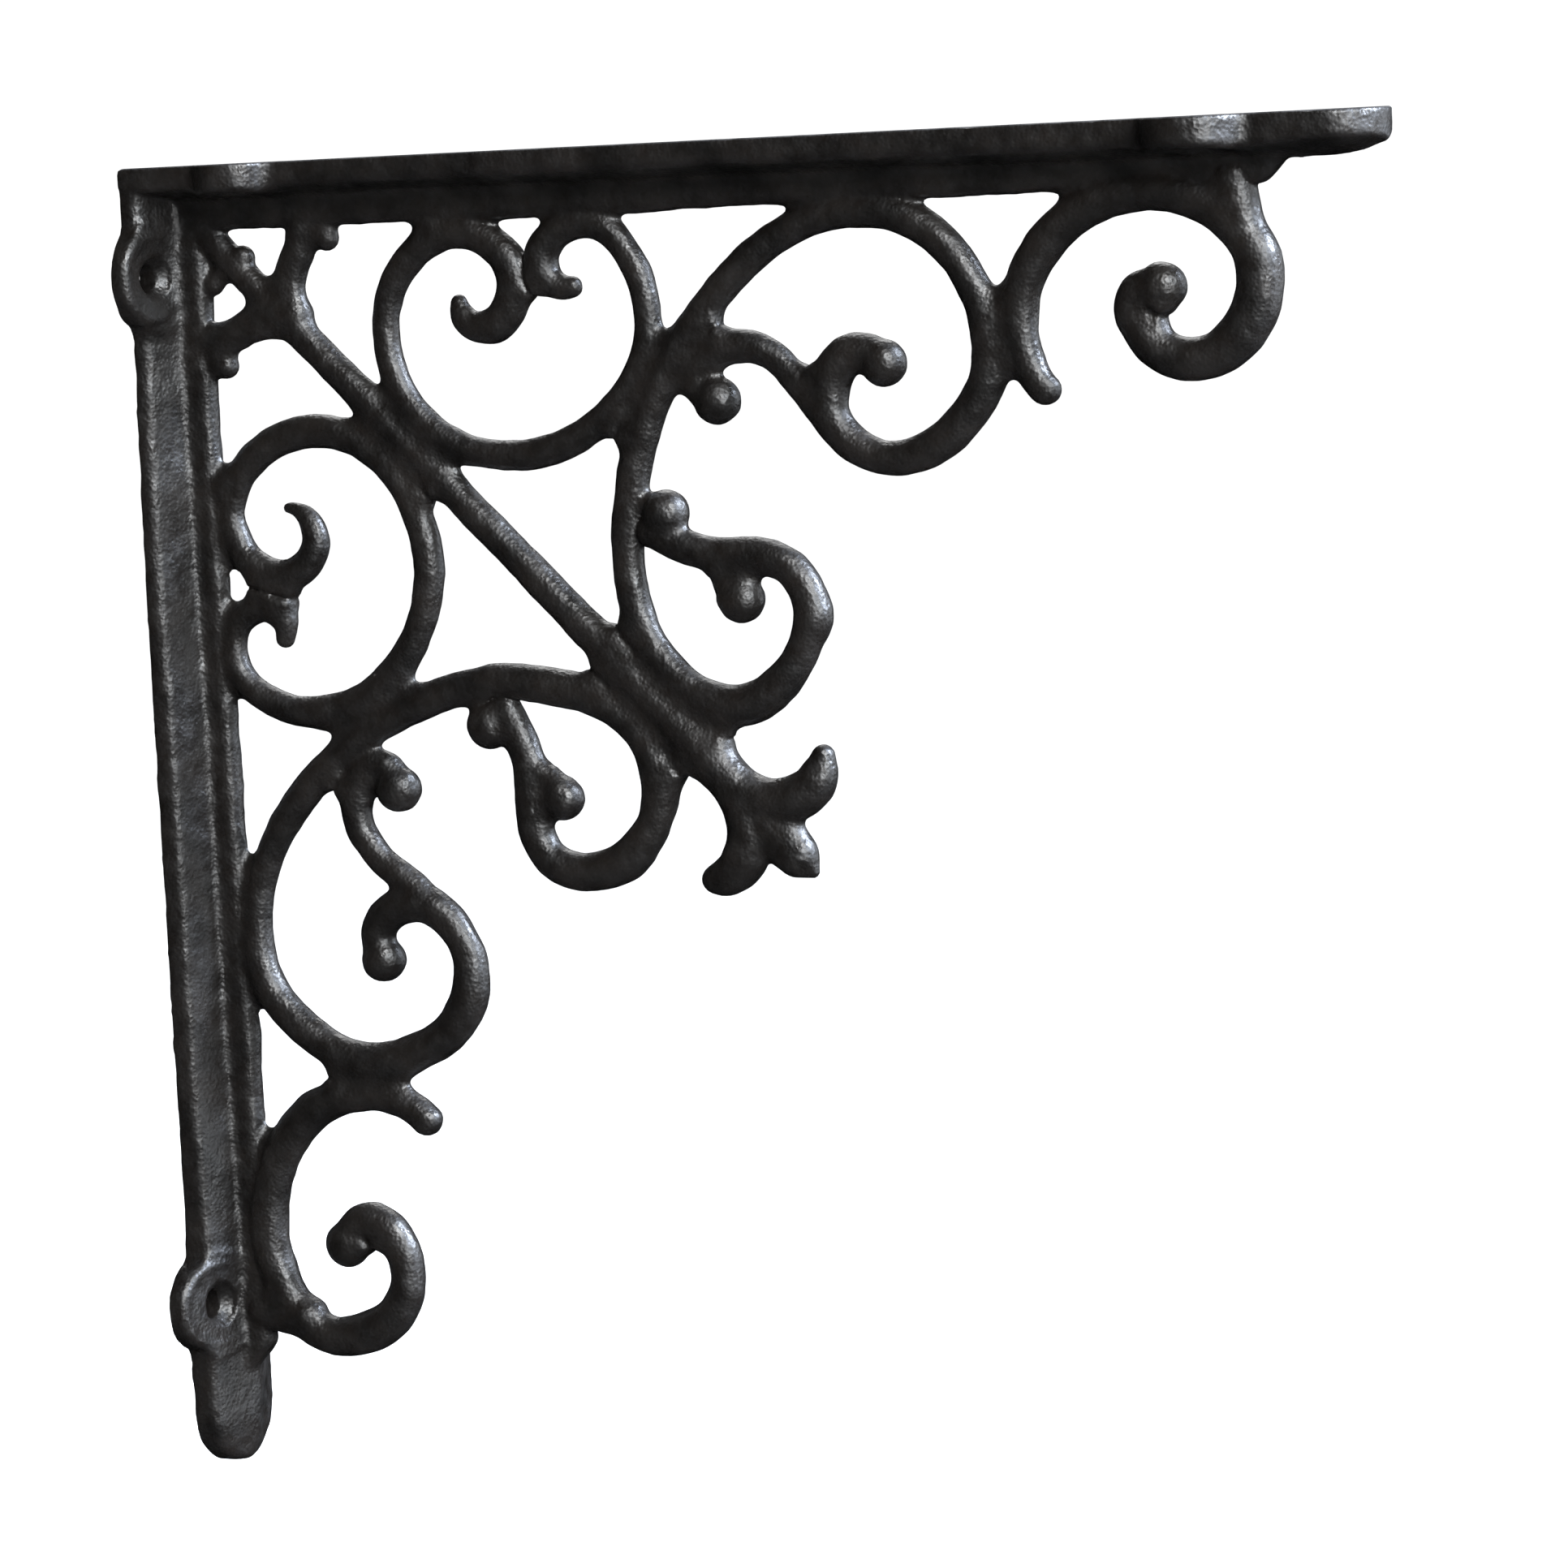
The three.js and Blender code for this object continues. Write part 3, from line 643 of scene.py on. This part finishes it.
def skin(field):
    """Points in metres, in the frame of the part, and faces of the surface where the field is zero."""
    grid = openvdb.FloatGrid(background=FAR)
    grid.copyFromArray(field.astype(np.float32))
    places, triangles, quads = grid.convertToPolygons(isovalue=0.0, adaptivity=0.0)
    places = np.asarray(places, np.float64)
    out = LOW + places[:, 0] * STEP
    drop = LOW + places[:, 1] * STEP
    depth = (places[:, 2] - (LAYERS - 1)) * STEP
    points = np.stack([out, depth, ORIGIN_DROP - drop], axis=1) / 1000
    return points, [np.asarray(faces) for faces in (triangles, quads) if len(faces)]


def mesh_of(name, points, polygons):
    """A mesh from points and from arrays of triangles and of quads."""
    data = bpy.data.meshes.new(name)
    loops = np.concatenate([p.ravel() for p in polygons]).astype(np.int32)
    sizes = np.concatenate([np.full(len(p), p.shape[1]) for p in polygons]).astype(np.int32)
    starts = np.concatenate([[0], np.cumsum(sizes)[:-1]]).astype(np.int32)
    data.vertices.add(len(points))
    data.vertices.foreach_set("co", points.astype(np.float32).ravel())
    data.loops.add(len(loops))
    data.loops.foreach_set("vertex_index", loops)
    data.polygons.add(len(sizes))
    data.polygons.foreach_set("loop_start", starts)
    data.update(calc_edges=True)
    data.validate()
    return data


def face_outwards(data, points):
    """Turns the faces of a closed mesh round if they look inwards, and counts its triangles."""
    data.calc_loop_triangles()
    count = len(data.loop_triangles)
    corners = np.empty(count * 3, np.int32)
    data.loop_triangles.foreach_get("vertices", corners)
    a, b, c = points[corners.reshape(-1, 3).T]
    if (a * np.cross(b, c)).sum() < 0:
        data.flip_normals()
    return count


def thinned(name, data, share):
    """A copy of the mesh with only a share of its triangles."""
    rough = bpy.data.objects.new("casting_rough", data)
    bpy.context.collection.objects.link(rough)
    thinner = rough.modifiers.new("thinner", "DECIMATE")
    thinner.ratio = min(1.0, share)
    bpy.context.view_layer.update()
    depsgraph = bpy.context.evaluated_depsgraph_get()
    fine = bpy.data.meshes.new_from_object(rough.evaluated_get(depsgraph))
    fine.name = name
    bpy.data.objects.remove(rough)
    return fine


def keep_inside(data, box):
    """Moves the few points that the thinning left outside the box back onto it."""
    spots = np.empty(len(data.vertices) * 3, np.float32)
    data.vertices.foreach_get("co", spots)
    spots = np.clip(spots.reshape(-1, 3), np.array(box[0]), np.array(box[1]))
    data.vertices.foreach_set("co", spots.astype(np.float32).ravel())


def make_casting():
    points, faces = skin(casting_field())
    rough = mesh_of("casting_rough", points, faces)
    count = face_outwards(rough, points)
    fine = thinned("bracket_casting", rough, TRIANGLES / count)
    keep_inside(fine, cad_box)
    fine.polygons.foreach_set("use_smooth", [True] * len(fine.polygons))
    casting = bpy.data.objects.new("bracket_casting", fine)
    bpy.context.collection.objects.link(casting)
    return casting


# Black paint on a sand casting: its two shades, its mirror share, and its roughness in patches
DARK_PAINT = (0.0028, 0.0022, 0.0018)
PALE_PAINT = (0.007, 0.0054, 0.0044)
MIRROR_SHARE = 0.6
PAINT_ROUGHNESS = (0.32, 0.52)

# How fine the patterns are, in features to the metre, and the height of the bumps in metres
SHADE_SCALE = 110
GLOSS_SCALE = 420
LUMP_SCALE = 520
LUMP_HEIGHT = 0.0005
GRAIN_SCALE = 1500
GRAIN_HEIGHT = 0.00016

# The backs are dull down to the first depth in millimetres, and not from the second on
BACK_ROUGHNESS = 0.85
BACK_DEPTHS = (0.2, 0.34)


class IronNodes:
    """Short ways to add nodes to the material and to link them."""

    def __init__(self, material):
        self.nodes = material.node_tree.nodes
        self.links = material.node_tree.links
        self.place = self.nodes.new("ShaderNodeTexCoord").outputs["Object"]

    def noise(self, scale, detail, roughness=0.5):
        node = self.nodes.new("ShaderNodeTexNoise")
        node.inputs["Scale"].default_value = scale
        node.inputs["Detail"].default_value = detail
        node.inputs["Roughness"].default_value = roughness
        self.links.new(self.place, node.inputs["Vector"])
        return node.outputs["Fac"]

    def specks(self, scale, smoothness):
        node = self.nodes.new("ShaderNodeTexVoronoi")
        node.feature = "SMOOTH_F1"
        node.inputs["Scale"].default_value = scale
        node.inputs["Smoothness"].default_value = smoothness
        self.links.new(self.place, node.inputs["Vector"])
        return node.outputs["Distance"]

    def ramp(self, source, stops):
        node = self.nodes.new("ShaderNodeValToRGB")
        for element, (at, colour) in zip(node.color_ramp.elements, stops):
            element.position = at
            element.color = (*colour, 1)
        self.links.new(source, node.inputs["Fac"])
        return node.outputs["Color"]

    def scaled(self, source, span, result):
        node = self.nodes.new("ShaderNodeMapRange")
        node.inputs["From Min"].default_value = span[0]
        node.inputs["From Max"].default_value = span[1]
        node.inputs["To Min"].default_value = result[0]
        node.inputs["To Max"].default_value = result[1]
        self.links.new(source, node.inputs["Value"])
        return node.outputs["Result"]

    def larger(self, first, second):
        node = self.nodes.new("ShaderNodeMath")
        node.operation = "MAXIMUM"
        self.links.new(first, node.inputs[0])
        self.links.new(second, node.inputs[1])
        return node.outputs["Value"]

    def bump(self, source, strength, distance, under=None):
        node = self.nodes.new("ShaderNodeBump")
        node.inputs["Strength"].default_value = strength
        node.inputs["Distance"].default_value = distance
        self.links.new(source, node.inputs["Height"])
        if under is not None:
            self.links.new(under, node.inputs["Normal"])
        return node.outputs["Normal"]


def back_roughness(make):
    """Roughness of the flat backs against wall and shelf, and none elsewhere."""
    axes = make.nodes.new("ShaderNodeSeparateXYZ")
    make.links.new(make.place, axes.inputs["Vector"])
    outer, inner = BACK_DEPTHS
    wall_span = (inner / 1000, outer / 1000)
    shelf_span = ((ORIGIN_DROP - inner) / 1000, (ORIGIN_DROP - outer) / 1000)
    wall_back = make.scaled(axes.outputs["X"], wall_span, (0, BACK_ROUGHNESS))
    shelf_back = make.scaled(axes.outputs["Z"], shelf_span, (0, BACK_ROUGHNESS))
    return make.larger(wall_back, shelf_back)


def iron_material():
    material = bpy.data.materials.new("iron")
    material.use_nodes = True
    make = IronNodes(material)
    shader = make.nodes["Principled BSDF"]
    shader.inputs["Specular IOR Level"].default_value = MIRROR_SHARE

    shade = make.ramp(make.noise(SHADE_SCALE, 5, 0.6), [(0.36, DARK_PAINT), (0.66, PALE_PAINT)])
    make.links.new(shade, shader.inputs["Base Color"])

    gloss = make.scaled(make.noise(GLOSS_SCALE, 3), (0.3, 0.7), PAINT_ROUGHNESS)
    make.links.new(make.larger(gloss, back_roughness(make)), shader.inputs["Roughness"])

    lumps = make.bump(make.noise(LUMP_SCALE, 2), 0.35, LUMP_HEIGHT)
    grain = make.bump(make.specks(GRAIN_SCALE, 0.5), 0.5, GRAIN_HEIGHT, lumps)
    make.links.new(grain, shader.inputs["Normal"])
    return material


bracket = make_casting()
bracket.data.materials.append(iron_material())
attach(bracket, "root")
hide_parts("bracket")

# Pale floor, in metres, well below the bracket, which hangs
FLOOR_HALF = 12
FLOOR_HEIGHT = -0.5
FLOOR_GREY = 0.93


def make_floor():
    signs = ((-1, -1), (1, -1), (1, 1), (-1, 1))
    corners = [(x * FLOOR_HALF, y * FLOOR_HALF, FLOOR_HEIGHT) for x, y in signs]
    data = bpy.data.meshes.new("floor")
    data.from_pydata(corners, [], [(0, 1, 2, 3)])
    plane = bpy.data.objects.new("floor", data)
    bpy.context.collection.objects.link(plane)
    plane.visible_glossy = False
    pale = bpy.data.materials.new("pale_floor")
    pale.use_nodes = True
    shader = pale.node_tree.nodes["Principled BSDF"]
    shader.inputs["Base Color"].default_value = (FLOOR_GREY, FLOOR_GREY, FLOOR_GREY, 1)
    shader.inputs["Roughness"].default_value = 0.9
    shader.inputs["Specular IOR Level"].default_value = 0.0
    data.materials.append(pale)
    return plane


floor = make_floor()

# Camera where the photograph was taken, found from the right angle and the symmetry of the bracket.
# Azimuth 0 is in front of the bracket and 90 to its right.
AZIMUTH = 25.7325
ELEVATION = 6.2837
ROLL = math.radians(-2.8463)
DISTANCE = 0.9981
LENS = 134.2
SENSOR_WIDTH = 36
TARGET = Vector((0.11906, 0, 0.00013))


def towards(azimuth, elevation):
    """Direction from the bracket to a place around it, from angles in degrees."""
    a = math.radians(azimuth)
    e = math.radians(elevation)
    return Vector((math.sin(a) * math.cos(e), -math.cos(a) * math.cos(e), math.sin(e)))


def make_camera():
    back = towards(AZIMUTH, ELEVATION)
    level = towards(AZIMUTH + 90, 0)
    upright = back.cross(level)
    right = level * math.cos(ROLL) + upright * math.sin(ROLL)
    up = upright * math.cos(ROLL) - level * math.sin(ROLL)
    data = bpy.data.cameras.new("camera")
    data.lens = LENS
    data.sensor_width = SENSOR_WIDTH
    data.clip_start = 0.05
    data.clip_end = 100
    camera = bpy.data.objects.new("camera", data)
    bpy.context.collection.objects.link(camera)
    turn = Matrix((right, up, back)).transposed().to_4x4()
    camera.matrix_world = Matrix.Translation(TARGET + back * DISTANCE) @ turn
    bpy.context.scene.camera = camera


# Lights that look at the middle: azimuth, elevation, distance, size, power and colour
MIDDLE = Vector((0.11, 0, 0))
LIGHTS = {
    "front_key": (60, 25, 2.2, (0.7, 0.7), 23, (0.84, 0.93, 1)),
    "front_high": (45, 35, 2.2, (0.9, 0.9), 41, (1, 1, 1)),
    "front_strip": (50, 14, 2.2, (0.7, 1.6), 29, (1, 1, 1)),
    "side_key": (105, 35, 2.2, (0.9, 0.9), 215, (0.75, 0.84, 1)),
    "side_strip": (100, 0, 2.2, (0.6, 1.6), 15.6, (0.9, 0.95, 1)),
    "rim_low": (138, 8, 2.2, (1.0, 1.4), 11, (0.9, 0.95, 1)),
    "rim_back": (200, 45, 2.4, (1.4, 1.4), 26, (1, 1, 1)),
}
WORLD_STRENGTH = 1.1


def make_light(name, azimuth, elevation, distance, size, power, colour):
    data = bpy.data.lights.new(name, "AREA")
    data.shape = "RECTANGLE"
    data.size, data.size_y = size
    data.energy = power
    data.color = colour
    lamp = bpy.data.objects.new(name, data)
    outwards = towards(azimuth, elevation)
    lamp.location = MIDDLE + outwards * distance
    lamp.rotation_euler = (-outwards).to_track_quat("-Z", "Y").to_euler()
    bpy.context.collection.objects.link(lamp)


def make_world():
    """Even white light that the iron doesn't mirror."""
    world = bpy.data.worlds.new("studio")
    world.use_nodes = True
    background = world.node_tree.nodes["Background"]
    background.inputs["Color"].default_value = (1, 1, 1, 1)
    background.inputs["Strength"].default_value = WORLD_STRENGTH
    bpy.context.scene.world = world
    world.cycles_visibility.glossy = False


make_camera()
for name, light in LIGHTS.items():
    make_light(name, *light)
make_world()
bpy.context.scene.view_settings.view_transform = "Standard"
